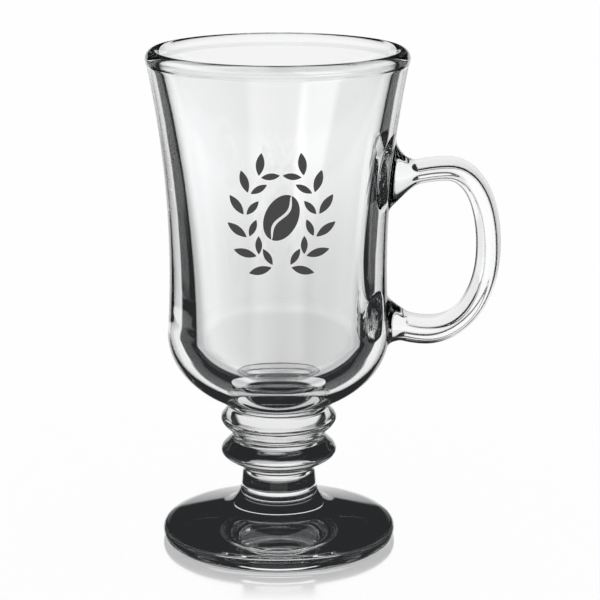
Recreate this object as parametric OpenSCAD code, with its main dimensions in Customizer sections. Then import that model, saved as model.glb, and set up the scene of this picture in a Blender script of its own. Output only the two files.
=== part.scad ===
// Footed glass mug for hot coffee drinks, with an ear handle.
// The glass is one fused casting. Its parts meet face to face at their seams.
// Z is up, the mug's axis is Z, the handle points along +X and the print faces -Y.

/* [Bowl] */
// Height of the whole mug
mug_h = 143; // [120:1:165]
// Widest radius of the bowl's rounded bottom
bulge_r = 31.85; // [28:0.05:36]
// Height of that widest place
bulge_z = 61; // [56:0.5:68]
// How far the rounded bottom would reach down to a full point
bottom_depth = 22.7; // [20:0.1:26]
// Angle above the widest place at which the wall takes over
bulge_blend = 2.94; // [1:0.01:5]

/* [Cavity] */
// Radius of the cavity where its floor begins to round
cavity_r = 23.9; // [22:0.1:28]
// Height where the floor begins to round
cavity_z = 61; // [60:0.5:72]
// Depth of the rounded floor below that height
cavity_depth = 14.5; // [8:0.1:18]
// Thickness of the wall under the rim
wall_t = 4.1; // [2.5:0.01:6]

/* [Rim] */
// Outer radius of the fire-polished lip
lip_r = 37.1; // [34:0.05:42]
// How far the lip's bead stands out beyond the wall
lip_bead = 0.32; // [0.1:0.01:1]
// Height of the lip's rounded crown
lip_crown = 2.6; // [1.5:0.1:4]
// Height of the lip's rounded underside
lip_under = 1.2; // [0.6:0.1:2]
// Height of the crown's inner half
inner_crown = 2.3; // [1:0.1:3]
// How far the lip's inner bead stands out into the cavity
inner_bead = 0.45; // [0.1:0.05:0.8]
// Height of the fold under the inner bead
inner_under = 0.8; // [0.3:0.1:0.9]

/* [Knops] */
// Outer radius of both knops
knop_r = 16.8; // [15:0.1:20]
// Radius in the grooves beside the upper knop
groove_r = 13.65; // [11:0.05:14.5]
// Height of the lower knop
lower_knop_z = 26; // [23:0.5:30]

/* [Stem and foot] */
// Radius at the top of the stem
stem_r = 10.5; // [8:0.1:13]
// Height of the top of the stem
stem_top_z = 20.2; // [18:0.1:22]
// Radius that the stem gains on its way down to the foot
stem_taper = 0.8; // [0:0.1:2]
// Radius of the sweep from the stem into the foot
foot_sweep = 9; // [5:0.1:9.5]
// Height of the seam between foot and stem
foot_seam_z = 13.5; // [12:0.1:14.5]
// Radius of the foot
foot_r = 33.9; // [30:0.1:40]
// Height of the foot's slope at the stem
foot_rise = 10.2; // [8:0.1:11]
// Height of the foot's slope at its edge
foot_edge_h = 3.5; // [2.5:0.1:6]
// Rounding of the foot's edge
foot_round = 1.5; // [0.5:0.1:1.7]
// Radius of the shallow recess underneath
recess_r = 27; // [20:0.5:29]
// Depth of the recess underneath
recess_depth = 0.8; // [0.5:0.1:3]

/* [Handle] */
// Farthest reach of the handle's centre line from the axis
handle_reach = 59.95; // [52:0.05:70]
// Height of that place
handle_reach_z = 86; // [80:0.5:92]
// Distance of the centre line's highest place from the axis
handle_top_x = 47.6; // [42:0.1:50]
// Height of that place
handle_top_z = 109; // [104:0.1:116]
// Distance of the centre line's lowest place from the axis
handle_bottom_x = 42.6; // [40:0.1:48]
// Height of that place
handle_bottom_z = 62; // [56:0.1:66]
// Height of the upper root on the bowl
upper_root_z = 107.6; // [100:0.1:110]
// Height of the lower root on the bowl
lower_root_z = 63.9; // [60:0.1:70]
// Thickness of the grip in the handle's plane
grip_t = 7.1; // [5:0.1:9]
// Thickness of the lower arm in the handle's plane
lower_arm_t = 8.8; // [6:0.1:11]
// Width of the grip across the handle's plane
grip_w = 12; // [9:0.1:14]
// Growth of the upper root's half thickness on the bowl
upper_flare = 6.7; // [1:0.1:8]
// Growth of the lower root's half thickness on the bowl
lower_flare = 2; // [0.5:0.1:4]
// Growth of the roots' half width on the bowl
side_flare = 1.2; // [0.2:0.1:3]

/* [Print] */
// Thickness of the fired enamel
print_t = 0.12; // [0.05:0.01:0.3]
// Depth of the print's centre below the mouth
print_drop = 41.5; // [32:0.5:56]
// Distance of the print's centre beside the mug's axis
print_x = 1.2; // [0:0.1:3]
// Half the width of the wreath's line
wreath_rx = 9.8; // [8:0.1:13]
// Half the height of the wreath's line
wreath_rz = 14; // [10:0.1:18]
// Leaves on each side of the wreath
leaf_pairs = 6; // [5:1:9]
// Length of a leaf
leaf_l = 6.2; // [4:0.1:8]
// Width of a leaf
leaf_w = 2.3; // [1.5:0.1:2.6]
// Length of the bean
bean_l = 13.4; // [8:0.1:16]
// Width of the bean
bean_w = 9; // [5:0.1:11]
// Width of the bean's furrow
furrow_w = 0.9; // [0.4:0.1:2]
// Bare gap between a leaf's foot and the branch's line
twig_gap = 0.45; // [0.3:0.05:1]

/* [Hidden] */

clear_glass = [0.86, 0.89, 0.89];
shaded_glass = [0.62, 0.66, 0.67];
charcoal = [0.17, 0.17, 0.18];

$fn = 96;
// Steps along a curve of the profile
curve_steps = 20;
lip_steps = 9;
edge_steps = 8;
// Pitch of the knops between the lower knop's crest and the groove above the upper knop
knop_pitch_share = 2 / 3;
// Sides of the handle's section and rings along its parts
grip_sides = 28;
grip_rings = 54;
root_rings = 9;
// The handle's section: share of its thickness that is flat in front and behind, sharpness of its corners,
// and how soft the ridge in the handle's plane is
grip_flat_share = 0.43;
grip_corner_power = 12;
grip_ridge_share = 0.08;
// Pull of the curve's handles, where 0.55 is a round quarter
upper_pull_share = 0.61;
lower_pull_share = 0.59;
arm_pull_share = 0.39;
// Part of the first and last stretch of the centre line that is root
root_share = 0.52;
// Slopes at which the arms leave the bowl
upper_arm_slope_share = -0.07;
lower_arm_slope_share = 0.17;
// How sharply a root's flare gathers at the bowl, and the lower arm's growth at its lowest place
flare_power = 2.2;
growth_power = 6.3;
// Part of a root that is cut away inside the bowl
root_buried_share = 0.2;
// Angle of the gap at the top of the wreath, between its two branches
wreath_gap = 50;
// Lean of the leaves off their branch, and of the bean
leaf_tilt = 38;
bean_tilt = -24;
// Place of the lowest leaf in its pitch, bluntness of a leaf's tips, size of an inner leaf
first_leaf_share = 0.6;
tip_share = 0.08;
inner_leaf_share = 0.8;
// Swing of the bean's furrow
furrow_swing_share = 0.13;
// Where the bean's halves end, as an angle on its ellipse
bean_end = 84;
leaf_steps = 6;
bean_steps = 14;
bean_columns = 3;

// Heights and radii that follow
lip_z = mug_h - lip_crown;
rim_seam_z = lip_z - lip_under;
neck_z = bulge_z - bottom_depth * sqrt(1 - pow(groove_r / bulge_r, 2));
knop_pitch = (neck_z - lower_knop_z) * knop_pitch_share;
groove_z = lower_knop_z + knop_pitch / 2;
join_z = bulge_z + bottom_depth * sin(bulge_blend);
join_r = bulge_r * cos(bulge_blend);
join_slope = -bulge_r / bottom_depth * tan(bulge_blend);
mouth_r = lip_r - lip_bead;
mouth_rise = rim_seam_z - join_z;
mouth_flare = mouth_r - join_r - join_slope * mouth_rise;
cavity_rise = rim_seam_z - cavity_z;
cavity_flare = mouth_r - wall_t - cavity_r;
print_z = mug_h - print_drop;

// Radius of the wall above the join: a parabola from the bulge's own slope out to the mouth
function wall_r(z) =
    join_r + join_slope * (z - join_z) + mouth_flare * pow((z - join_z) / mouth_rise, 2);

// Radius of the round bottom: an ellipse about the widest place
function bottom_r(z) = bulge_r * sqrt(max(0, 1 - pow((bulge_z - z) / bottom_depth, 2)));

// Radius of the bowl's outside at any height
function bowl_r(z) = z > join_z ? wall_r(z) : bottom_r(z);

// Radius of the cavity's side: a parabola that starts upright and leaves the wall its thickness at the mouth
function cavity_side_r(z) = cavity_r + cavity_flare * pow((z - cavity_z) / cavity_rise, 2);

// Radius of the knops: a cosine wave from groove to knop
function knop_wave_r(z) =
    groove_r + (knop_r - groove_r) * (1 + cos(360 * (z - lower_knop_z) / knop_pitch)) / 2;

// Radius under the lower knop: half a cosine wave down to the stem
function knop_under_r(z) =
    stem_r + (knop_r - stem_r) * (1 + cos(180 * (lower_knop_z - z) / (lower_knop_z - stem_top_z))) / 2;

// Even steps from one value to another
function steps(from, to, count = curve_steps) =
    [for (i = [0:count]) from + (to - from) * i / count];

// A round corner: the arc of one radius that touches the lines a-b and b-c
function round_corner(a, b, c, radius, count = curve_steps) =
    let (
        u = (a - b) / norm(a - b),
        v = (c - b) / norm(c - b),
        half = acos(u * v) / 2,
        centre = b + (u + v) / norm(u + v) * radius / sin(half),
        start = b + u * radius / tan(half) - centre,
        end = b + v * radius / tan(half) - centre
    )
    [for (i = [0:count])
        let (k = i / count, p = start * sin((1 - k) * (180 - 2 * half)) + end * sin(k * (180 - 2 * half)))
        centre + p / norm(p) * radius];

// A solid of revolution from profile points of radius and height
module turned(points) {
    rotate_extrude() polygon(points);
}

// The bowl's outside without its cavity, which cuts the handle's roots
module bowl_outside(from_z, to_z) {
    turned(concat(
        [[0, from_z]],
        [for (z = steps(from_z, to_z)) [bowl_r(z), z]],
        [[0, to_z]]
    ));
}

module rim() {
    inner_z = mug_h - inner_crown;
    inner_r = cavity_side_r(inner_z) - inner_bead;
    wall_top_r = wall_r(rim_seam_z);
    crown_r = (lip_r - inner_r) / 2;
    color(clear_glass) turned(concat(
        [[cavity_side_r(rim_seam_z), rim_seam_z], [wall_top_r, rim_seam_z]],
        [for (a = steps(90, 0, lip_steps)) if (a < 90)
            [wall_top_r + (lip_r - wall_top_r) * cos(a), lip_z - lip_under * sin(a)]],
        [for (a = steps(0, 180, 2 * curve_steps)) if (a > 0)
            [inner_r + crown_r * (1 + cos(a)), mug_h - (a < 90 ? lip_crown : inner_crown) * (1 - sin(a))]],
        [for (a = steps(0, 90, lip_steps)) if (a > 0)
            let (z = inner_z - inner_under * sin(a)) [cavity_side_r(z) - inner_bead * cos(a), z]]
    ));
}

module bowl() {
    color(clear_glass) turned(concat(
        [[0, neck_z]],
        [for (a = steps(acos(groove_r / bulge_r), -bulge_blend))
            [bulge_r * cos(a), bulge_z - bottom_depth * sin(a)]],
        [for (z = steps(join_z, rim_seam_z)) if (z > join_z) [wall_r(z), z]],
        [for (z = steps(rim_seam_z, cavity_z)) [cavity_side_r(z), z]],
        [for (a = steps(0, 90)) if (a > 0) [cavity_r * cos(a), cavity_z - cavity_depth * sin(a)]]
    ));
}

module upper_knop() {
    color(clear_glass) turned(concat(
        [[0, groove_z]],
        [for (z = steps(groove_z, neck_z, 2 * curve_steps)) [knop_wave_r(z), z]],
        [[0, neck_z]]
    ));
}

module lower_knop() {
    color(clear_glass) turned(concat(
        [[0, stem_top_z]],
        [for (z = steps(stem_top_z, lower_knop_z)) [knop_under_r(z), z]],
        [for (z = steps(lower_knop_z, groove_z)) if (z > lower_knop_z) [knop_wave_r(z), z]],
        [[0, groove_z]]
    ));
}

// The corner where the line down the stem meets the line of the foot's slope
stem_top = [stem_r, stem_top_z];
stem_foot = [stem_r + stem_taper, foot_rise];
foot_edge = [foot_r, foot_edge_h];
sweep = round_corner(stem_top, stem_foot, foot_edge, foot_sweep, 2 * curve_steps);
// Radius of the sweep at the seam, between its two nearest points
sweep_above = max([for (i = [0:len(sweep) - 1]) if (sweep[i][1] >= foot_seam_z) i]);
function between(a, b, z) = a[0] + (b[0] - a[0]) * (a[1] - z) / (a[1] - b[1]);
foot_seam_r = between(sweep[sweep_above], sweep[sweep_above + 1], foot_seam_z);

module stem() {
    color(shaded_glass) turned(concat(
        [[0, stem_top_z], stem_top],
        [for (p = sweep) if (p[1] > foot_seam_z) p],
        [[foot_seam_r, foot_seam_z], [0, foot_seam_z]]
    ));
}

module foot() {
    low_corner = [foot_r, 0];
    color(shaded_glass) turned(concat(
        [[0, foot_seam_z], [foot_seam_r, foot_seam_z]],
        [for (p = sweep) if (p[1] < foot_seam_z) p],
        round_corner(stem_foot, foot_edge, low_corner, foot_round, edge_steps),
        round_corner(foot_edge, low_corner, [0, 0], foot_round, edge_steps),
        [for (r = steps(recess_r, 0)) [r, recess_depth * (1 - pow(r / recess_r, 2))]]
    ));
}

// Centre line of the handle: four cubic curves in X and Z, root to top to reach to bottom to root
upper_start = [bowl_r(upper_root_z), upper_root_z];
lower_end = [bowl_r(lower_root_z), lower_root_z];
top = [handle_top_x, handle_top_z];
reach = [handle_reach, handle_reach_z];
low = [handle_bottom_x, handle_bottom_z];
upper_arm = handle_top_x - upper_start[0];
lower_arm = handle_bottom_x - lower_end[0];
curves = [
    [upper_start, upper_start + upper_arm * arm_pull_share * [1, upper_arm_slope_share],
        top - [upper_arm * arm_pull_share, 0], top],
    [top, top + [upper_pull_share * (handle_reach - handle_top_x), 0],
        reach + [0, upper_pull_share * (handle_top_z - handle_reach_z)], reach],
    [reach, reach - [0, lower_pull_share * (handle_reach_z - handle_bottom_z)],
        low + [lower_pull_share * (handle_reach - handle_bottom_x), 0], low],
    [low, low - [lower_arm * arm_pull_share, 0],
        lower_end + lower_arm * arm_pull_share * [1, -lower_arm_slope_share], lower_end]
];

function curve_of(s) = curves[min(3, max(0, floor(s)))];
function rest_of(s) = s - min(3, max(0, floor(s)));
function cubic(c, k) =
    pow(1 - k, 3) * c[0] + 3 * k * pow(1 - k, 2) * c[1] + 3 * k * k * (1 - k) * c[2] + pow(k, 3) * c[3];
function cubic_slope(c, k) =
    pow(1 - k, 2) * (c[1] - c[0]) + 2 * k * (1 - k) * (c[2] - c[1]) + k * k * (c[3] - c[2]);

// Closeness to an end of the handle: 0 from the seam onwards, 1 on the bowl
function near_upper(s) = max(0, 1 - s / root_share);
function near_lower(s) = max(0, 1 - (4 - s) / root_share);
// Growth of the lower arm, from the reach to the lowest place
function lower_growth(s) = s < 2 ? 0 : s > 3 ? 1 : pow((1 - cos(180 * (s - 2))) / 2, growth_power);

function half_t(s) =
    grip_t / 2 + (lower_arm_t - grip_t) / 2 * lower_growth(s)
    + upper_flare * pow(near_upper(s), flare_power) + lower_flare * pow(near_lower(s), flare_power);
function half_w(s) =
    grip_w / 2 + side_flare * pow(near_upper(s) + near_lower(s), flare_power);

// How far a direction reaches to the grip's section: flat in front and behind, with slanting sides that meet in
// a soft ridge in the handle's plane
function section_reach(t, w) =
    let (
        slant = (1 - grip_flat_share) * (sqrt(w * w + pow(grip_ridge_share * t, 2)) - grip_ridge_share * abs(t)),
        side = abs(t) + slant
    )
    pow(pow(side, grip_corner_power) + pow(abs(w), grip_corner_power), -1 / grip_corner_power);

// One ring of the handle's skin across the centre line at place s
function ring(s) =
    let (
        middle = cubic(curve_of(s), rest_of(s)),
        along = cubic_slope(curve_of(s), rest_of(s)),
        across = [along[1], -along[0]] / norm(along)
    )
    [for (i = [0:grip_sides - 1])
        let (
            a = 360 * i / grip_sides,
            reach = section_reach(cos(a), sin(a)),
            t = half_t(s) * reach * cos(a),
            w = half_w(s) * reach * sin(a)
        )
        [middle[0] + across[0] * t, w, middle[1] + across[1] * t]];

// A closed skin through rings, with a fan of triangles at each end
module swept(rings) {
    n = grip_sides;
    count = len(rings);
    sides = [for (r = [0:count - 2], i = [0:n - 1])
        let (a = r * n + i, b = r * n + (i + 1) % n)
        each [[a, a + n, b], [b, a + n, b + n]]];
    first = [for (i = [1:n - 2]) [0, i, i + 1]];
    last = [for (i = [1:n - 2]) [(count - 1) * n, (count - 1) * n + i + 1, (count - 1) * n + i]];
    polyhedron(points = [for (r = rings) each r], faces = concat(sides, first, last));
}

module handle_grip() {
    color(clear_glass) swept([for (s = steps(root_share, 4 - root_share, grip_rings)) ring(s)]);
}

module handle_upper_root() {
    reach_z = 2 * (grip_t + upper_flare);
    color(clear_glass) difference() {
        swept([for (s = steps(-root_share * root_buried_share, root_share, root_rings)) ring(s)]);
        bowl_outside(upper_root_z - reach_z, upper_root_z + reach_z);
    }
}

module handle_lower_root() {
    reach_z = 2 * (lower_arm_t + lower_flare);
    color(clear_glass) difference() {
        swept([for (s = steps(4 - root_share, 4 + root_share * root_buried_share, root_rings)) ring(s)]);
        bowl_outside(lower_root_z - reach_z, lower_root_z + reach_z);
    }
}

// A place on the bowl's outside at x beside the axis and height z, lifted off the glass
function on_bowl(p, lift) =
    let (r = bowl_r(p[1]), a = asin(p[0] / r))
    [(r + lift) * sin(a), -(r + lift) * cos(a), p[1]];

// A layer of enamel on the bowl, from a grid of places given row by row
module enamel(grid) {
    rows = len(grid);
    cols = len(grid[0]);
    half = rows * cols;
    flat = [for (row = grid) each row];
    edge = concat(
        [for (c = [0:cols - 1]) c],
        [for (r = [1:rows - 1]) r * cols + cols - 1],
        [for (c = [cols - 2:-1:0]) (rows - 1) * cols + c],
        [for (r = [rows - 2:-1:1]) r * cols]
    );
    outer = [for (r = [0:rows - 2], c = [0:cols - 2])
        let (i = r * cols + c)
        each [[i, i + cols, i + 1], [i + 1, i + cols, i + cols + 1]]];
    inner = [for (f = outer) [f[2] + half, f[1] + half, f[0] + half]];
    side = [for (i = [0:len(edge) - 1])
        let (a = edge[i], b = edge[(i + 1) % len(edge)])
        each [[a, b, b + half], [a, b + half, a + half]]];
    points = [for (lift = [print_t, 0], p = flat) on_bowl(p, lift)];
    polyhedron(points = points, faces = concat(outer, inner, side));
}

function turned_by(p, angle) =
    [p[0] * cos(angle) - p[1] * sin(angle), p[0] * sin(angle) + p[1] * cos(angle)];

// Places of a leaf along +X from its foot, as wide as a parabola and blunt at both tips
leaf_grid = [for (u = steps(0, 1, leaf_steps))
    let (half = leaf_w / 2 * (tip_share + (1 - tip_share) * 4 * u * (1 - u)))
    [for (v = [-1, 0, 1]) [leaf_l * u, -v * half]]];

// One leaf of the wreath: side picks the branch, i its place on it, out its side of the branch
function leaf_places(side, i, out) =
    let (
        a = side * (180 - wreath_gap / 2) * (i + first_leaf_share) / leaf_pairs,
        foot = [wreath_rx * sin(a), -wreath_rz * cos(a)],
        growth = atan2(wreath_rz * sin(a), wreath_rx * cos(a)) + (side < 0 ? 180 : 0),
        lean = growth + out * leaf_tilt,
        size = out * side > 0 ? inner_leaf_share : 1,
        gap = turned_by([0, out * twig_gap], growth)
    )
    [for (row = leaf_grid) [for (p = row)
        [print_x, print_z] + foot + gap + turned_by(p * size, lean)]];

// One half of the bean, from its wavy furrow out to an ellipse
function bean_places(side) =
    [for (a = steps(-bean_end, bean_end, bean_steps))
        let (
            z = bean_l / 2 * sin(a),
            furrow = bean_w * furrow_swing_share * sin(360 * z / bean_l) + side * furrow_w / 2,
            edge = side * bean_w / 2
        )
        [for (v = side > 0 ? steps(0, 1, bean_columns) : steps(1, 0, bean_columns))
            [print_x, print_z] + turned_by([cos(a) * (furrow + (edge - furrow) * v), z], bean_tilt)]];

module front_print() {
    color(charcoal) {
        for (side = [-1, 1], i = [0:leaf_pairs - 1], out = [-1, 1]) enamel(leaf_places(side, i, out));
        for (side = [-1, 1]) enamel(bean_places(side));
    }
}

rim();
bowl();
upper_knop();
lower_knop();
stem();
foot();
handle_upper_root();
handle_grip();
handle_lower_root();
front_print();
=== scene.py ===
import math
import bpy
import numpy as np
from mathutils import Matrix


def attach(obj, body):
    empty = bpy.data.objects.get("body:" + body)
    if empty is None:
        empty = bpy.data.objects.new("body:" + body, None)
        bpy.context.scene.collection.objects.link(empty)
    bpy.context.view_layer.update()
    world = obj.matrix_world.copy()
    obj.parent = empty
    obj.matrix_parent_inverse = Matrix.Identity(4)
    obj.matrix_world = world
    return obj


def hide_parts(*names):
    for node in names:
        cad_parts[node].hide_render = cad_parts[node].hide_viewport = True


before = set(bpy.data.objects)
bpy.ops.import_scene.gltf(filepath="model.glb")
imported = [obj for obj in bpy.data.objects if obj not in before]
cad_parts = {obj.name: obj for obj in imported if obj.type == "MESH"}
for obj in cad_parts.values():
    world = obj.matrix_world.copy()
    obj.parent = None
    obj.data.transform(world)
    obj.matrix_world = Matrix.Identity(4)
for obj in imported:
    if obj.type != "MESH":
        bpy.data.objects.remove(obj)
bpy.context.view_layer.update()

# The mug in millimetres, as the CAD has it: axis on Z, handle along +X, print towards -Y
mug_h, bulge_r, bulge_z, bottom_depth, bulge_blend = 143.0, 31.85, 61.0, 22.7, math.radians(2.94)
cavity_r, cavity_z, cavity_depth, wall_t = 23.9, 61.0, 14.5, 4.1
lip_r, lip_bead, lip_crown, lip_under = 37.1, 0.32, 2.6, 1.2
inner_crown, inner_bead, inner_under = 2.3, 0.45, 0.8
knop_r, groove_r, lower_knop_z, knop_pitch_share = 16.8, 13.65, 26.0, 2 / 3
stem_r, stem_top_z, stem_taper = 10.5, 20.2, 0.8
foot_sweep, foot_seam_z, foot_r, foot_rise, foot_edge_h = 9.0, 13.5, 33.9, 10.2, 3.5
foot_round, recess_r, recess_depth = 1.5, 27.0, 0.8

lip_z = mug_h - lip_crown
rim_seam_z = lip_z - lip_under
neck_z = bulge_z - bottom_depth * math.sqrt(1 - (groove_r / bulge_r) ** 2)
knop_pitch = (neck_z - lower_knop_z) * knop_pitch_share
groove_z = lower_knop_z + knop_pitch / 2
join_z = bulge_z + bottom_depth * math.sin(bulge_blend)
join_r = bulge_r * math.cos(bulge_blend)
join_slope = -bulge_r / bottom_depth * math.tan(bulge_blend)
mouth_r = lip_r - lip_bead
mouth_rise = rim_seam_z - join_z
mouth_flare = mouth_r - join_r - join_slope * mouth_rise
cavity_rise = rim_seam_z - cavity_z
cavity_flare = mouth_r - wall_t - cavity_r

MM = 0.001
COLUMNS = 256
SECTION = 96
AROUND = np.linspace(0, 2 * math.pi, SECTION, endpoint=False)
PROFILE_SPACING, CREASE_REACH = 0.05, 0.3
LEAST_STEP, MOST_STEP, STEP_TURN = 0.12, 0.9, math.radians(2.2)
ON_AXIS, TINY, SLOPE_STEP, HALVINGS = 1e-6, 1e-9, 0.01, 50


def wall_r(z):
    """Radius of the wall above the join: a line at the bulge's slope plus a parabola out to the mouth."""
    return join_r + join_slope * (z - join_z) + mouth_flare * ((z - join_z) / mouth_rise) ** 2


def bowl_r(z):
    """Radius of the bowl's outside: an ellipse about the widest place below the join, the wall above it."""
    low = bulge_r * np.sqrt(np.maximum(0, 1 - ((bulge_z - z) / bottom_depth) ** 2))
    return np.where(z > join_z, wall_r(z), low)


def cavity_side_r(z):
    """Radius of the cavity's side: a parabola that starts upright where the floor ends."""
    return cavity_r + cavity_flare * ((z - cavity_z) / cavity_rise) ** 2


def unit(v):
    return v / np.linalg.norm(v, axis=-1, keepdims=True)


def round_corner(a, b, c, radius, count=40):
    """The arc of one radius that touches the lines a-b and b-c, as points from the first to the second."""
    a, b, c = (np.array(p, float) for p in (a, b, c))
    u, v = (a - b) / np.linalg.norm(a - b), (c - b) / np.linalg.norm(c - b)
    half = math.acos(u @ v) / 2
    centre = b + (u + v) / np.linalg.norm(u + v) * radius / math.sin(half)
    start, end = (b + w * radius / math.tan(half) - centre for w in (u, v))
    k = np.linspace(0, 1, count + 1)[:, None]
    p = start * np.sin((1 - k) * (math.pi - 2 * half)) + end * np.sin(k * (math.pi - 2 * half))
    return centre + p / np.linalg.norm(p, axis=1, keepdims=True) * radius


def half_outline():
    """The mug's whole profile as radius and height: from the axis underneath, out to the foot's edge, up the
    outside, over the lip and down the cavity back to the axis."""
    def stretch(r, z):
        return np.stack(np.broadcast_arrays(r, z), -1)

    def arc(r, z, half_w, half_h, start, end, count):
        """Part of an ellipse about a centre, without its first point. Angles turn downwards from outwards."""
        a = np.linspace(start, end, count)[1:]
        return stretch(r + half_w * np.cos(a), z - half_h * np.sin(a))

    r = np.linspace(0, recess_r, 60)
    under = stretch(r, recess_depth * (1 - (r / recess_r) ** 2))
    stem_foot, foot_edge, low_corner = [stem_r + stem_taper, foot_rise], [foot_r, foot_edge_h], [foot_r, 0]
    low_edge = round_corner([0, 0], low_corner, foot_edge, foot_round)
    high_edge = round_corner(low_corner, foot_edge, stem_foot, foot_round)
    sweep = round_corner(foot_edge, stem_foot, [stem_r, stem_top_z], foot_sweep)
    z = np.linspace(stem_top_z, lower_knop_z, 60)
    fall = (1 + np.cos(math.pi * (lower_knop_z - z) / (lower_knop_z - stem_top_z))) / 2
    knop_under = stretch(stem_r + (knop_r - stem_r) * fall, z)
    z = np.linspace(lower_knop_z, neck_z, 160)[1:]
    wave = (1 + np.cos(2 * math.pi * (z - lower_knop_z) / knop_pitch)) / 2
    knops = stretch(groove_r + (knop_r - groove_r) * wave, z)
    bottom = arc(0, bulge_z, bulge_r, bottom_depth, math.acos(groove_r / bulge_r), -bulge_blend, 200)
    z = np.linspace(join_z, rim_seam_z, 200)[1:]
    wall = stretch(wall_r(z), z)
    bead = arc(mouth_r, lip_z, lip_bead, lip_under, math.pi / 2, 0, 30)
    inner_z = mug_h - inner_crown
    inner_r = float(cavity_side_r(inner_z)) - inner_bead
    a = np.linspace(0, math.pi, 120)[1:]
    height = np.where(a < math.pi / 2, lip_crown, inner_crown)
    crown = stretch(inner_r + (lip_r - inner_r) * (1 + np.cos(a)) / 2, mug_h - height * (1 - np.sin(a)))
    a = np.linspace(0, math.pi / 2, 30)[1:]
    z = inner_z - inner_under * np.sin(a)
    inner_fold = stretch(cavity_side_r(z) - inner_bead * np.cos(a), z)
    z = np.linspace(inner_z - inner_under, cavity_z, 200)[1:]
    side = stretch(cavity_side_r(z), z)
    floor = arc(0, cavity_z, cavity_r, cavity_depth, 0, math.pi / 2, 120)
    return np.concatenate([
        under, low_edge, high_edge, sweep, knop_under, knops, bottom, wall, bead, crown, inner_fold, side, floor])


def softened(path, spacing, reach):
    """The profile at an even spacing along its length, with each point the average of its neighbours under a
    bell curve, so that creases become the small fillets of fire-polished glass. It is mirrored at the axis."""
    length = np.concatenate([[0], np.cumsum(np.linalg.norm(np.diff(path, axis=0), axis=1))])
    keep = np.concatenate([[True], np.diff(length) > TINY])
    at = np.linspace(0, length[-1], int(length[-1] / spacing))
    even = np.stack([np.interp(at, length[keep], path[keep, i]) for i in (0, 1)], -1)
    n = int(4 * reach / spacing)
    flip = np.array([-1, 1])
    longer = np.concatenate([even[n:0:-1] * flip, even, even[-2:-n - 2:-1] * flip])
    bell = np.exp(-0.5 * (np.arange(-n, n + 1) * spacing / reach) ** 2)
    soft = np.stack([np.convolve(longer[:, i], bell / bell.sum(), "valid") for i in (0, 1)], -1)
    soft[[0, -1], 0] = 0
    return soft


def spread(stretch, normals, least, most, turn):
    """Fewer points along a stretch of the profile: closer together where it bends, by an angle of turn each."""
    bend = np.arccos(np.clip((normals[1:] * normals[:-1]).sum(1), -1, 1))
    step = np.linalg.norm(np.diff(stretch, axis=0), axis=1)
    density = np.clip(bend / turn / np.maximum(step, TINY), 1 / most, 1 / least)
    cost = np.concatenate([[0], np.cumsum(density * step)])
    at = np.linspace(0, cost[-1], max(3, int(cost[-1]) + 1))
    pick = np.unique(np.round(np.interp(at, cost, np.arange(len(cost)))).astype(int))
    return stretch[pick], normals[pick]


def piece(name, points, faces, corner_normals, slots, materials):
    """A mesh piece in metres from points and faces in millimetres, with its own corner normals."""
    mesh = bpy.data.meshes.new(name)
    mesh.from_pydata(points * MM, [], faces)
    for material in materials:
        mesh.materials.append(material)
    mesh.polygons.foreach_set("material_index", slots)
    mesh.polygons.foreach_set("use_smooth", np.ones(len(faces), bool))
    if corner_normals is not None:
        mesh.normals_split_custom_set(corner_normals)
    mesh.update()
    made = bpy.data.objects.new(name, mesh)
    bpy.context.scene.collection.objects.link(made)
    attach(made, "root")
    return made


def turned(name, runs, closed, materials):
    """A solid of revolution. The runs are (points, normals, is_seam) stretches of a profile that goes up the
    outside and down the inside: each point becomes a ring, or one vertex on the axis. Where closed is true the
    profile joins its own start."""
    rings, segments = [], []
    for points, normals, seam in runs:
        first = len(rings) - 1 if rings else 0
        if not rings:
            rings.append(points[0])
        for i in range(1, len(points)):
            rings.append(points[i])
            segments.append((first + i - 1, first + i, normals[i - 1], normals[i], seam))
    if closed:
        rings.pop()
        segments[-1] = (segments[-1][0], 0) + segments[-1][2:]
    angle = np.arange(COLUMNS) * 2 * math.pi / COLUMNS
    around = np.stack([np.cos(angle), np.sin(angle)], -1)
    starts, points, at = [], [], 0
    for r, z in rings:
        starts.append(at)
        if r < ON_AXIS:
            points.append([[0, 0, z]])
        else:
            points.append(np.column_stack([around * r, np.full(COLUMNS, z)]))
        at += len(points[-1])
    points = np.concatenate(points)
    j = np.arange(COLUMNS)
    k = (j + 1) % COLUMNS
    faces, corners, slots = [], [], []

    def normal(n, columns):
        return np.column_stack([around[columns] * n[0], np.full(len(columns), n[1])])

    for a, b, na, nb, seam in segments:
        low, high = rings[a][0] < ON_AXIS, rings[b][0] < ON_AXIS
        if low:
            faces.append(np.stack([np.full(COLUMNS, starts[a]), starts[b] + k, starts[b] + j], -1))
            corners.append(np.stack([normal(na * [0, 1], j), normal(nb, k), normal(nb, j)], 1))
        elif high:
            faces.append(np.stack([starts[a] + j, starts[a] + k, np.full(COLUMNS, starts[b])], -1))
            corners.append(np.stack([normal(na, j), normal(na, k), normal(nb * [0, 1], j)], 1))
        else:
            faces.append(np.stack([starts[a] + j, starts[a] + k, starts[b] + k, starts[b] + j], -1))
            corners.append(np.stack([normal(na, j), normal(na, k), normal(nb, k), normal(nb, j)], 1))
        slots.append(np.full(COLUMNS, 1 if seam else 0))
    face_list = [f for part in faces for f in part.tolist()]
    normals = np.concatenate([c.reshape(-1, 3) for c in corners])
    return piece(name, points, face_list, normals, np.concatenate(slots), materials)


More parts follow.
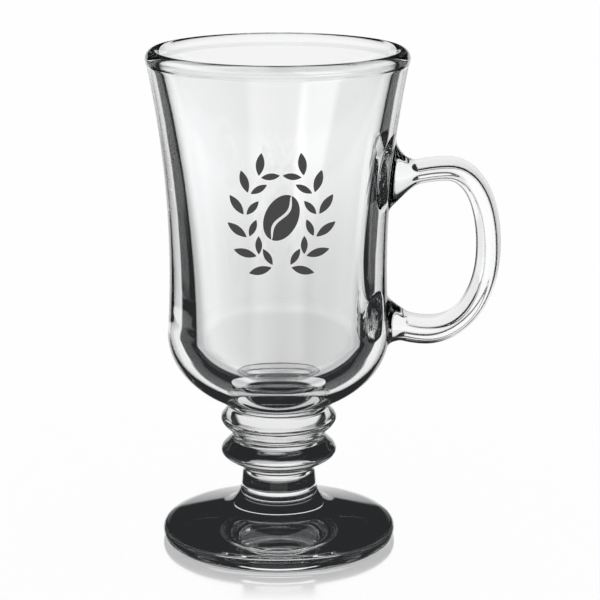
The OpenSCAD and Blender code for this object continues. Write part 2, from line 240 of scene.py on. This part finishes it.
# The handle in millimetres: four cubic curves in X and Z, root to top to reach to bottom to root
handle_reach, handle_reach_z, handle_top_x, handle_top_z = 59.95, 86.0, 47.6, 109.0
handle_bottom_x, handle_bottom_z, upper_root_z, lower_root_z = 42.6, 62.0, 107.6, 63.9
grip_t, lower_arm_t, grip_w, upper_flare, lower_flare, side_flare = 7.1, 8.8, 12.0, 6.7, 2.0, 1.2
upper_pull_share, lower_pull_share, arm_pull_share, root_share = 0.61, 0.59, 0.39, 0.52
upper_arm_slope_share, lower_arm_slope_share, root_buried_share = -0.07, 0.17, 0.2
flare_power, growth_power = 2.2, 6.3
grip_flat_share, grip_corner_power, grip_ridge_share = 0.43, 12, 0.08
root_corner_power, root_ridge_share = 3.5, 0.9


def centre_curves():
    """The control points of the four cubic curves of the handle's centre line."""
    start = np.array([float(bowl_r(upper_root_z)), upper_root_z])
    end = np.array([float(bowl_r(lower_root_z)), lower_root_z])
    top, reach = np.array([handle_top_x, handle_top_z]), np.array([handle_reach, handle_reach_z])
    low = np.array([handle_bottom_x, handle_bottom_z])
    x, z = np.array([1.0, 0.0]), np.array([0.0, 1.0])
    upper, lower = handle_top_x - start[0], handle_bottom_x - end[0]
    return np.array([
        [start, start + upper * arm_pull_share * (x + upper_arm_slope_share * z),
         top - upper * arm_pull_share * x, top],
        [top, top + upper_pull_share * (handle_reach - handle_top_x) * x,
         reach + upper_pull_share * (handle_top_z - handle_reach_z) * z, reach],
        [reach, reach - lower_pull_share * (handle_reach_z - handle_bottom_z) * z,
         low + lower_pull_share * (handle_reach - handle_bottom_x) * x, low],
        [low, low - lower * arm_pull_share * x,
         end + lower * arm_pull_share * (x - lower_arm_slope_share * z), end]])


def handle_skin(s, angle):
    """A point of the handle's skin at place s along the centre line and at an angle round its section, which is
    flat in front and behind, with slanting sides that meet in a soft ridge in the handle's plane. Towards the
    bowl the corners and the ridge grow rounder."""
    curve = np.clip(np.floor(s), 0, 3)
    a, b, c, d = np.moveaxis(centre_curves()[curve.astype(int)], -2, 0)
    k = (s - curve)[..., None]
    middle = (1 - k) ** 3 * a + 3 * k * (1 - k) ** 2 * b + 3 * k * k * (1 - k) * c + k ** 3 * d
    along = unit((1 - k) ** 2 * (b - a) + 2 * k * (1 - k) * (c - b) + k * k * (d - c))
    near_upper, near_lower = np.maximum(0, 1 - s / root_share), np.maximum(0, 1 - (4 - s) / root_share)
    growth = ((1 - np.cos(math.pi * np.clip(s - 2, 0, 1))) / 2) ** growth_power
    flare = upper_flare * near_upper ** flare_power + lower_flare * near_lower ** flare_power
    half_t = grip_t / 2 + (lower_arm_t - grip_t) / 2 * growth + flare
    half_w = grip_w / 2 + side_flare * (near_upper + near_lower) ** flare_power
    ct, cw = np.cos(angle), np.sin(angle)
    round_share = np.clip(near_upper + near_lower, 0, 1)
    round_share = round_share * round_share * (3 - 2 * round_share)
    ridge = grip_ridge_share + (root_ridge_share - grip_ridge_share) * round_share
    corner = grip_corner_power + (root_corner_power - grip_corner_power) * round_share
    slant = (1 - grip_flat_share) * (np.hypot(cw, ridge * ct) - ridge * np.abs(ct))
    size = ((np.abs(ct) + slant) ** corner + np.abs(cw) ** corner) ** (-1 / corner)
    t, w = half_t * size * ct, half_w * size * cw
    return np.stack([middle[..., 0] + along[..., 1] * t, w, middle[..., 1] - along[..., 0] * t], -1)


def on_bowl(azimuth, z, lift=0.0):
    """A point of the bowl's outside at an azimuth from +X and a height, lifted off the glass."""
    r = bowl_r(z) + lift
    return np.stack([r * np.cos(azimuth), r * np.sin(azimuth), z], -1)


def grid_normals(p):
    """Normals of a tube's grid whose rows run along it and whose columns close round it."""
    along = np.gradient(p, axis=0)
    round_it = np.roll(p, -1, 1) - np.roll(p, 1, 1)
    return unit(np.cross(round_it, along))


def trimmed_rows(inside, outside, fillet, skin_rows, fillet_rows):
    """Rows of a root's skin from the bowl outwards. Each line along the root is cut where it meets the bowl,
    found by halving, and a parabola of the fillet's reach joins it smoothly to the bowl on the way."""
    a, b = np.full(SECTION, inside), np.full(SECTION, outside)
    for _ in range(HALVINGS):
        m = (a + b) / 2
        p = handle_skin(m, AROUND)
        buried = np.hypot(p[:, 0], p[:, 1]) < bowl_r(p[:, 2])
        a, b = np.where(buried, m, a), np.where(buried, b, m)
    foot = handle_skin(a, AROUND)
    azimuth, z = np.arctan2(foot[:, 1], foot[:, 0]), foot[:, 2]
    across = unit(np.roll(foot, -1, 0) - np.roll(foot, 1, 0))
    lean = (bowl_r(z + SLOPE_STEP) - bowl_r(z - SLOPE_STEP)) / (2 * SLOPE_STEP)
    out = unit(np.stack([np.cos(azimuth), np.sin(azimuth), -lean], -1))
    away = unit(np.cross(across, out))
    away *= np.sign(((foot - foot.mean(0)) * away).sum(1))[:, None]
    wide = foot + away * fillet
    wide = on_bowl(np.arctan2(wide[:, 1], wide[:, 0]), wide[:, 2])
    step = (outside - inside) * 1e-3
    speed = np.linalg.norm(handle_skin(a + step, AROUND) - foot, axis=1) / abs(step)
    start = a + np.sign(outside - inside) * fillet / speed
    k = np.linspace(0, 1, fillet_rows)[:, None, None]
    curve = (1 - k) ** 2 * wide + 2 * k * (1 - k) * foot + k * k * handle_skin(start, AROUND)
    q = np.linspace(0, 1, skin_rows)[1:, None]
    skin = handle_skin(*np.broadcast_arrays(start + (outside - start) * q, AROUND))
    return np.concatenate([curve, skin])


def tube_piece(name, p, n, first_cap, last_cap, materials):
    """A closed tube from a grid of points and normals. Each cap is a list of rings that ends in one point, and
    is a seam. The faces turn outwards whichever way the rows run."""
    rows, cols = p.shape[:2]
    j = np.arange(cols)
    k = (j + 1) % cols
    points, faces, normals, slots = [p.reshape(-1, 3)], [], [], []
    for r in range(rows - 1):
        a, b = r * cols, (r + 1) * cols
        faces.append(np.stack([a + j, a + k, b + k, b + j], -1))
        normals.append(np.stack([n[r, j], n[r, k], n[r + 1, k], n[r + 1, j]], 1).reshape(-1, 3))
        slots.append(np.zeros(cols, int))
    total = rows * cols
    for ring, cap, turn in ((0, first_cap, True), (rows - 1, last_cap, False)):
        before = ring * cols
        way = unit(np.cross(p[ring, 1] - p[ring, 0], cap[-1] - p[ring, 0])) * (-1 if turn else 1)
        for inner in cap:
            inner = np.atleast_2d(inner)
            points.append(inner)
            if len(inner) == 1:
                quad = np.stack([before + j, before + k, np.full(cols, total)], -1)
            else:
                quad = np.stack([before + j, before + k, total + k, total + j], -1)
            faces.append(quad[:, ::-1] if turn else quad)
            normals.append(np.broadcast_to(way, (quad.size, 3)))
            slots.append(np.ones(cols, int))
            before, total = total, total + len(inner)
    face_list = [f for part in faces for f in part.tolist()]
    return piece(name, np.concatenate(points), face_list, np.concatenate(normals), np.concatenate(slots),
                 materials)


class Wire:
    """A node's output. Sums and products of wires and numbers add their Math nodes."""

    def __init__(self, bench, socket):
        self.bench, self.socket = bench, socket

    def __add__(self, other):
        return self.bench.math("ADD", self, other)

    __radd__ = __add__

    def __sub__(self, other):
        return self.bench.math("SUBTRACT", self, other)

    def __rsub__(self, other):
        return self.bench.math("SUBTRACT", other, self)

    def __mul__(self, other):
        return self.bench.math("MULTIPLY", self, other)

    __rmul__ = __mul__

    def __lt__(self, other):
        return self.bench.math("LESS_THAN", self, other)

    def __gt__(self, other):
        return self.bench.math("GREATER_THAN", self, other)

    def at(self, out):
        """Another output of the same node."""
        return Wire(self.bench, self.socket.node.outputs[out])

    def smooth(self, low, high):
        """From 0 at low to 1 at high, easing in and out."""
        return self.bench.node("MapRange", {"Value": self, "From Min": low, "From Max": high},
                               interpolation_type="SMOOTHSTEP")

    def between(self, rise, fall):
        """From 0 to 1 over the range rise, and back to 0 over the range fall."""
        return self.smooth(*rise) * (1 - self.smooth(*fall))

    def cosine(self):
        return self.bench.math("COSINE", self)

    def unsigned(self):
        return self.bench.math("ABSOLUTE", self)


class Bench:
    """The nodes of one material or of the world."""

    def __init__(self, owner):
        owner.use_nodes = True
        self.tree = owner.node_tree
        self.tree.nodes.clear()

    def node(self, kind, sockets=None, out=0, **settings):
        made = self.tree.nodes.new("ShaderNode" + kind)
        for key, value in settings.items():
            setattr(made, key, value)
        for key, value in (sockets or {}).items():
            if isinstance(value, Wire):
                self.tree.links.new(value.socket, made.inputs[key])
            else:
                made.inputs[key].default_value = value
        return Wire(self, made.outputs[out]) if len(made.outputs) else None

    def math(self, operation, *values):
        return self.node("Math", dict(enumerate(values)), operation=operation)

    def azimuth(self, vector):
        """The vector's angle in plan, from +Y towards +X."""
        return self.math("ARCTAN2", vector.at(0), vector.at(1))

    def blend(self, share, first, second):
        """A mix of two colours."""
        return self.node("Mix", {0: share, 6: first, 7: second}, out=2, data_type="RGBA")

    def layers(self, share, first, second):
        """A mix of two shaders."""
        return self.node("MixShader", {0: share, 1: first, 2: second})

    def output(self, shader):
        self.node("OutputMaterial", {"Surface": shader})


def material(name):
    made = bpy.data.materials.new(name)
    return made, Bench(made)


# Camera: the photograph's own place and angle
scene = bpy.context.scene
camera = bpy.data.objects.new("camera", bpy.data.cameras.new("camera"))
scene.collection.objects.link(camera)
camera.location = (0.0062, -0.5871, 0.2212)
camera.rotation_euler = (math.radians(90 - 14.39), 0, 0)
camera.data.lens = 126.66
camera.data.sensor_width = 36
camera.data.clip_start = 0.01
scene.camera = camera
scene.view_settings.view_transform = "Standard"
scene.cycles.max_bounces = 32
scene.cycles.transmission_bounces = 32
scene.cycles.glossy_bounces = 16
scene.cycles.transparent_max_bounces = 32

# Finishes
# knop_painted_shade_tint darkens the knops' clear glass: painted shade
glass_tint, knop_painted_shade_tint, glass_ior = (0.98, 0.982, 0.986, 1), (0.81, 0.812, 0.817, 1), 1.51
ripple_scale, ring_flatness, ring_depth = 70.0, 9.0, 9
knops_start, knops_end = (0.0245, 0.028), (0.044, 0.047)
ink_dark, ink_pale, ink_grain_scale = (0.022, 0.022, 0.024, 1), (0.034, 0.034, 0.036, 1), 2500.0


def ripples(bench, place, roughness):
    return bench.node("TexNoise", {
        "Vector": place, "Scale": ripple_scale, "Detail": 1.0, "Roughness": roughness})


def pressed_glass(bench, tint, height):
    """Clear glass whose surface is faintly wavy by a height."""
    wave = bench.node("Bump", {"Height": height, "Strength": 0.1, "Distance": 0.0004})
    return bench.node("BsdfPrincipled", {
        "Base Color": tint, "Roughness": 0.0, "IOR": glass_ior, "Transmission Weight": 1.0, "Normal": wave})


# Rim, stem, foot and handle, and the knops, which have fine level rings and a darker tint that is painted shade
clear_glass, bench = material("clear_glass")
place = bench.node("TexCoord", out=3)
knops = bench.node("SeparateXYZ", {0: place}).at(2).between(knops_start, knops_end)
flattened = bench.node("VectorMath", {0: place, 1: (1.0, 1.0, ring_flatness)}, operation="MULTIPLY")
rings = ripples(bench, flattened, 0.5)
height = ripples(bench, place, 0.4) + ring_depth * knops * rings
# Over the knops the glass tint is blended darker: painted shade
bench.output(pressed_glass(bench, bench.blend(knops, glass_tint, knop_painted_shade_tint), height))

# The bowl, which has no skin of its own where a root is fused to it
bowl_glass, bench = material("bowl_glass")
glass = pressed_glass(bench, glass_tint, ripples(bench, bench.node("TexCoord", out=3), 0.4))
gap = bench.node("Attribute", out=2, attribute_name="root_gap")
bench.output(bench.layers(gap < 0.0, glass, bench.node("BsdfTransparent")))

# Seams inside the casting, which light crosses unbent
seam, bench = material("fused_seam")
bench.output(bench.node("BsdfTransparent"))

enamel, bench = material("dark_enamel")
grain = bench.node("TexNoise", {
    "Vector": bench.node("TexCoord", out=3), "Scale": ink_grain_scale, "Detail": 2.0})
bench.output(bench.node("BsdfPrincipled", {
    "Base Color": bench.blend(grain.smooth(0.35, 0.7), ink_dark, ink_pale),
    "Roughness": 0.42 + 0.1 * grain, "IOR": 1.5,
    "Normal": bench.node("Bump", {"Height": grain, "Strength": 0.15, "Distance": 0.00005})}))

# Glass parts that share the mug's axis
path = softened(half_outline(), PROFILE_SPACING, CREASE_REACH)
tangent = unit(np.gradient(path, axis=0))
path_normals = np.stack([tangent[:, 1], -tangent[:, 0]], -1)
lip_at = int(path[:, 1].argmax())
edge_at = int(path[:lip_at, 0][path[:lip_at, 1] < foot_edge_h].argmax())
# The profile's points at the seams' heights, up the outside, and where the rim ends on the inside
foot_top, stem_top, groove, neck, rim_start = (
    edge_at + int(np.searchsorted(path[edge_at:lip_at, 1], z))
    for z in (foot_seam_z, stem_top_z, groove_z, neck_z, rim_seam_z))
rim_end = lip_at + int(np.argmax(path[lip_at:, 1] < rim_seam_z))


def skin_run(first, last):
    """The mug's own skin between two points of the profile."""
    stretch = slice(first, last + 1)
    return (*spread(path[stretch], path_normals[stretch], LEAST_STEP, MOST_STEP, STEP_TURN), False)


def seam_run(a, b):
    """A flat seam between two points of one height."""
    way = unit(np.array(b, float) - a)
    n = np.array([way[1], -way[0]])
    return np.array([a, b]), np.array([n, n]), True


def disc(at, down):
    """A flat seam across the mug at a point of the profile, seen from below or from above."""
    p = path[at]
    centre = np.array([0, p[1]])
    return seam_run(centre, p) if down else seam_run(p, centre)


foot_runs = [skin_run(0, foot_top), disc(foot_top, down=False)]
axis_parts = {"foot": turned("glass_foot", foot_runs, False, [clear_glass, seam])}
for name, low, high in (
        ("stem", foot_top, stem_top), ("lower_knop", stem_top, groove), ("upper_knop", groove, neck)):
    runs = [disc(low, down=True), skin_run(low, high), disc(high, down=False)]
    axis_parts[name] = turned("glass_" + name, runs, False, [clear_glass, seam])
# The rim's seam is made level
path[rim_end, 1] = path[rim_start, 1]
bowl_runs = [disc(neck, down=True), skin_run(neck, rim_start), seam_run(path[rim_start], path[rim_end]),
             skin_run(rim_end, len(path) - 1)]
axis_parts["bowl"] = turned("glass_bowl", bowl_runs, False, [bowl_glass, seam])
rim_runs = [skin_run(rim_start, rim_end), seam_run(path[rim_end], path[rim_start])]
axis_parts["rim"] = turned("glass_rim", rim_runs, True, [clear_glass, seam])
for name, made in axis_parts.items():
    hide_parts(name)

# Handle: one skin cut into its roots and its grip
fillet_reach, fillet_row_count, root_row_count, grip_row_count = 1.6, 14, 46, 230
upper_rows = trimmed_rows(
    -root_share * root_buried_share, root_share, fillet_reach, root_row_count, fillet_row_count)
lower_rows = trimmed_rows(
    4 + root_share * root_buried_share, 4 - root_share, fillet_reach, root_row_count, fillet_row_count)
grip_s = np.linspace(root_share, 4 - root_share, grip_row_count)[:, None]
grip_rows = handle_skin(*np.broadcast_arrays(grip_s, AROUND))
whole = np.concatenate([upper_rows, grip_rows[1:-1], lower_rows[::-1]])
whole_normals = grid_normals(whole)
if ((whole - whole.mean(1, keepdims=True)) * whole_normals).sum() < 0:
    whole_normals = -whole_normals
n_up, n_low = len(upper_rows), len(lower_rows)


def flat_cap(ring):
    """One point in the middle of a ring."""
    return [ring.mean(0)]


def bowl_cap(ring, count=8):
    """Rings on the bowl's own surface inside a root's edge, shrinking to its middle."""
    azimuth, z = np.arctan2(ring[:, 1], ring[:, 0]), ring[:, 2]
    rings = [on_bowl(azimuth.mean() + (azimuth - azimuth.mean()) * q, z.mean() + (z - z.mean()) * q)
             for q in np.linspace(1, 0, count + 1)[1:-1]]
    return rings + [on_bowl(azimuth.mean(), z.mean())]


def facing(p, n):
    """The same grid with its columns turned round where the faces would point inwards."""
    way = np.cross(p[1, 1] - p[1, 0], p[2, 0] - p[1, 0])
    return (p, n) if way @ n[1, 0] > 0 else (p[:, ::-1], n[:, ::-1])


for name, part, caps in (
        ("handle_upper_root", slice(0, n_up), (bowl_cap, flat_cap)),
        ("handle_grip", slice(n_up - 1, len(whole) - n_low + 1), (flat_cap, flat_cap)),
        ("handle_lower_root", slice(len(whole) - n_low, len(whole)), (flat_cap, bowl_cap))):
    p, n = facing(whole[part], whole_normals[part])
    made = tube_piece("glass_" + name, p, n, caps[0](p[0]), caps[1](p[-1]), [clear_glass, seam])
    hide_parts(name)

# The bowl's skin is left out where a root is fused to it: distance outside the roots' edges, per vertex
no_root_near, skin_depth, root_half_w, root_half_h = 10.0, 0.3, 14, 18


def gap_to_ring(spots, ring):
    """Distance of spots on the bowl from a root's edge, on the skin laid flat, and below zero within it. A spot
    is within the edge if the edge's corners turn once round it."""
    flat, q = (np.stack([np.arctan2(p[:, 1], p[:, 0]) * bulge_r, p[:, 2]], -1) for p in (ring, spots))
    edge = np.roll(flat, -1, 0) - flat
    t = np.clip(((q[:, None] - flat) * edge).sum(-1) / (edge ** 2).sum(-1), 0, 1)
    away = np.linalg.norm(q[:, None] - flat - edge * t[..., None], axis=-1).min(1)
    angle = np.arctan2(*(flat[:, None] - q).transpose(2, 0, 1)[::-1])
    turn = (np.roll(angle, -1, 0) - angle + math.pi) % (2 * math.pi) - math.pi
    return np.where(np.abs(turn.sum(0)) > math.pi, -away, away)


bowl_mesh = axis_parts["bowl"].data
spots = np.zeros(len(bowl_mesh.vertices) * 3)
bowl_mesh.vertices.foreach_get("co", spots)
spots = spots.reshape(-1, 3) / MM
gaps = np.full(len(spots), no_root_near)
on_handle_side = (np.abs(np.hypot(spots[:, 0], spots[:, 1]) - bowl_r(spots[:, 2])) < skin_depth) & (spots[:, 0] > 0)
for ring in (whole[0], whole[-1]):
    level = np.abs(spots[:, 2] - ring[:, 2].mean()) < root_half_h
    near = on_handle_side & level & (np.abs(spots[:, 1]) < root_half_w)
    gaps[near] = np.minimum(gaps[near], gap_to_ring(spots[near], ring))
attribute = bowl_mesh.attributes.new("root_gap", "FLOAT", "POINT")
attribute.data.foreach_set("value", gaps.astype(np.float32))

# Print: a laurel of leaves round a coffee bean, each a thin layer that follows the bowl
print_drop, print_x, ink_low, ink_high = 41.5, 1.2, 0.02, 0.1
wreath_rx, wreath_rz, leaf_pairs, leaf_l, leaf_w = 9.8, 14.0, 6, 6.2, 2.3
bean_l, bean_w, furrow_w, twig_gap = 13.4, 9.0, 0.9, 0.45
wreath_gap, leaf_tilt, bean_tilt, bean_end = 50, 38, -24, 84
first_leaf_share, tip_share, inner_leaf_share, furrow_swing_share = 0.6, 0.08, 0.8, 0.13
print_z = mug_h - print_drop


def turned_by(p, degrees):
    c, s = math.cos(math.radians(degrees)), math.sin(math.radians(degrees))
    return p @ np.array([[c, s], [-s, c]])


def leaf_places(side, i, out, rows=17, cols=5):
    """A leaf as a grid along its length, as wide as a parabola, placed on the wreath's ellipse."""
    u, v = np.linspace(0, 1, rows)[:, None], np.linspace(-1, 1, cols)
    half = leaf_w / 2 * (tip_share + (1 - tip_share) * 4 * u * (1 - u))
    grid = np.stack(np.broadcast_arrays(leaf_l * u, -v * half), -1)
    a = math.radians(side * (180 - wreath_gap / 2) * (i + first_leaf_share) / leaf_pairs)
    foot = np.array([wreath_rx * math.sin(a), -wreath_rz * math.cos(a)])
    growth = math.degrees(math.atan2(wreath_rz * math.sin(a), wreath_rx * math.cos(a)))
    growth += 180 if side < 0 else 0
    size = inner_leaf_share if out * side > 0 else 1
    gap = turned_by(np.array([0, out * twig_gap]), growth)
    return np.array([print_x, print_z]) + foot + gap + turned_by(grid * size, growth + out * leaf_tilt)


def bean_places(side, rows=49, cols=9):
    """Half a bean as a grid from its wavy furrow out to an ellipse."""
    a = np.radians(np.linspace(-bean_end, bean_end, rows))[:, None]
    z = bean_l / 2 * np.sin(a)
    furrow = bean_w * furrow_swing_share * np.sin(2 * math.pi * z / bean_l) + side * furrow_w / 2
    v = np.linspace(0, 1, cols) if side > 0 else np.linspace(1, 0, cols)
    x = np.cos(a) * (furrow + (side * bean_w / 2 - furrow) * v)
    return np.array([print_x, print_z]) + turned_by(np.stack(np.broadcast_arrays(x, z), -1), bean_tilt)


def ink_layer(grid, start):
    """A closed layer over a grid of places: an outer and an inner skin and a strip round the edge."""
    rows, cols = grid.shape[:2]
    x, z = grid[..., 0].ravel(), grid[..., 1].ravel()
    skins = [on_bowl(np.arcsin(x / bowl_r(z)) - math.pi / 2, z, lift) for lift in (ink_high, ink_low)]
    half = rows * cols
    i = (np.arange(rows - 1)[:, None] * cols + np.arange(cols - 1)).ravel()
    outer_faces = np.stack([i, i + 1, i + cols + 1, i + cols], -1)
    edge = np.concatenate([np.arange(cols), np.arange(1, rows) * cols + cols - 1,
                           (rows - 1) * cols + np.arange(cols - 2, -1, -1), np.arange(rows - 2, 0, -1) * cols])
    after = np.roll(edge, -1)
    strip = np.stack([edge, edge + half, after + half, after], -1)
    points = np.concatenate(skins)
    faces = np.concatenate([outer_faces, outer_faces[:, ::-1] + half, strip])
    a, b, c = points[faces[0][0]], points[faces[0][1]], points[faces[0][3]]
    if np.cross(b - a, c - a) @ (a * [1, 1, 0]) < 0:
        faces = faces[:, ::-1]
    return points, faces + start


layers = [leaf_places(side, i, out) for side in (-1, 1) for i in range(leaf_pairs) for out in (-1, 1)]
layers += [bean_places(side) for side in (-1, 1)]
ink_points, ink_faces = [], []
for grid in layers:
    p, f = ink_layer(grid, sum(len(q) for q in ink_points))
    ink_points.append(p)
    ink_faces += f.tolist()
front = piece("print_laurel", np.concatenate(ink_points), ink_faces, None, np.zeros(len(ink_faces), int),
              [enamel])
front.data.polygons.foreach_set("use_smooth", np.zeros(len(ink_faces), bool))
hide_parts("front_print")

# Floor: plain and pale, with a faint polish close to the foot
white, dark = (1, 1, 1, 1), (0.021, 0.023, 0.024, 1)
floor_half, floor_drop, floor_colour, shadow_share = 3, 0.0002, (0.86, 0.86, 0.86, 1), 0.07
polish_share, polish_end, polish_roughness = 0.55, (0.034, 0.056), 0.12
floor_mesh = bpy.data.meshes.new("floor")
floor_mesh.from_pydata(
    [(x * floor_half, y * floor_half, -floor_drop) for x, y in ((-1, -1), (1, -1), (1, 1), (-1, 1))],
    [], [(0, 1, 2, 3)])
floor = bpy.data.objects.new("floor", floor_mesh)
scene.collection.objects.link(floor)
floor_finish, bench = material("pale_floor")
floor_mesh.materials.append(floor_finish)
place = bench.node("TexCoord", out=3)
reach = bench.node("VectorMath", {0: place}, out=1, operation="LENGTH")
ray = bench.node("LightPath")
camera_ray = ray.at("Is Camera Ray")
paper = bench.node("BsdfDiffuse", {"Color": floor_colour})
polish = bench.node("BsdfGlossy", {"Color": white, "Roughness": polish_roughness})
bright = bench.node("Emission", {"Color": white})
shine = polish_share * (1 - reach.smooth(*polish_end))
pale = bench.layers(camera_ray * shine, bright, polish)
plain_floor = bench.layers(1 - ray.at("Is Diffuse Ray") - shadow_share * camera_ray, paper, pale)

# What rays that come through glass meet there: a painted shadow under the foot, white fields before and behind the
# mug, and a soft light for rays that crossed four faces, so went through the cavity. Near the horizon the world
# takes over.
inner_crossings, foot_shade, foot_shade_less = 3.5, (0.0185, 0.0225), 0.0125
field_near, field_edge, horizon = (0.115, 0.135), (0.52, 0.66), (1.2, 2.9)
inner_glow, left_rise, right_rise, rise_end = 0.92, -0.9, 0.45, (0.4, 0.72)
strip_glow, strip_start, strip_end = 0.19, (0.02, 0.035), (0.09, 0.115)
near_loss, near_end = 0.25, (0.2, 0.5)
inner = ray.at("Transmission Depth") > inner_crossings
# A painted shadow under the foot: glass rays that land there meet a dark emission
under = 1 - (reach - foot_shade_less * (1 - inner)).smooth(*foot_shade)
turn = bench.azimuth(bench.node("SeparateXYZ", {0: place}))
lit = reach.smooth(*field_near) * (turn * 2).cosine().smooth(*field_edge)
quarter = bench.math("WRAP", turn, math.pi / 4, -math.pi / 4)
aside = bench.math("MAXIMUM", quarter * left_rise, quarter * right_rise)
aside = aside * (1 - quarter.unsigned().smooth(*rise_end))
close = 1 - reach.smooth(*near_end)
strip = quarter.between(strip_start, strip_end) * (1 - close)
glow = inner_glow + aside + strip_glow * strip - near_loss * close
nothing = bench.node("BsdfTransparent")
inner_light = bench.node("Emission", {"Color": bench.node("CombineColor", {0: glow, 1: glow, 2: glow})})
far = bench.layers(inner, bench.layers(lit, nothing, bright), inner_light)
# The dark emission here is the painted shadow under the foot
beyond = bench.layers(under, far, bench.node("Emission", {"Color": dark}))
beyond = bench.layers(reach.smooth(*horizon), beyond, nothing)
through_glass = ray.at("Is Singular Ray") * (1 - camera_ray)
bench.output(bench.layers(through_glass, plain_floor, beyond))

# Surroundings: white, but rays that come through glass or off it meet white panels on a dark field, which draw
# its edges. Wide panels stand before and behind, narrow ones at the sides and the corners. Heights are the rise
# of a ray of length 1.
wide_least, wide_more, wide_middle, wide_low = 0.5, 0.4, (0.7, 1.0), (0.33, 0.45)
mirrored_least, mirrored_more, mirrored_turn = 0.5, 0.5, (-0.1, 0.1)
side_edge, corner_edge = (0.82, 0.9), (0.025, 0.055)
straight_rise, straight_fall = (-0.64, -0.57), (0.17, 0.28)
mirrored_rise, mirrored_fall = (-0.5, -0.42), (0.05, 0.12)
steep_glow, steep_start = 0.85, (0.42, 0.52)
world = bpy.data.worlds.new("studio")
scene.world = world
bench = Bench(world)
ray = bench.node("LightPath")
way = bench.node("SeparateXYZ", {0: bench.node("TexCoord")})
height = way.at(2)
ahead = (bench.azimuth(way) * 2).cosine()
mirrored = ray.at("Glossy Depth") > 0.5
straight = 1 - mirrored
wide = wide_least + wide_more * ahead.smooth(*wide_middle)
wide = wide + (1 - wide) * (0 - height).smooth(*wide_low)
wide = straight * wide + mirrored * (mirrored_least + mirrored_more * way.at(1).smooth(*mirrored_turn))
narrow = bench.math(
    "MAXIMUM", (0 - ahead).smooth(*side_edge), 1 - (ahead * ahead).smooth(*corner_edge))
panels = ahead.smooth(*field_edge) * wide + narrow * straight
mirrored_band = mirrored * height.between(mirrored_rise, mirrored_fall)
straight_band = straight * height.between(straight_rise, straight_fall)
light = panels * (mirrored_band + straight_band)
light = light + (1 - light) * straight * steep_glow * (0 - height).smooth(*steep_start)
plain = 1 - ray.at("Is Singular Ray") * (1 - ray.at("Is Camera Ray"))
surroundings = bench.blend(plain, bench.blend(light, dark, white), white)
bench.node("OutputWorld", {"Surface": bench.node("Background", {"Color": surroundings, "Strength": 1.0})})
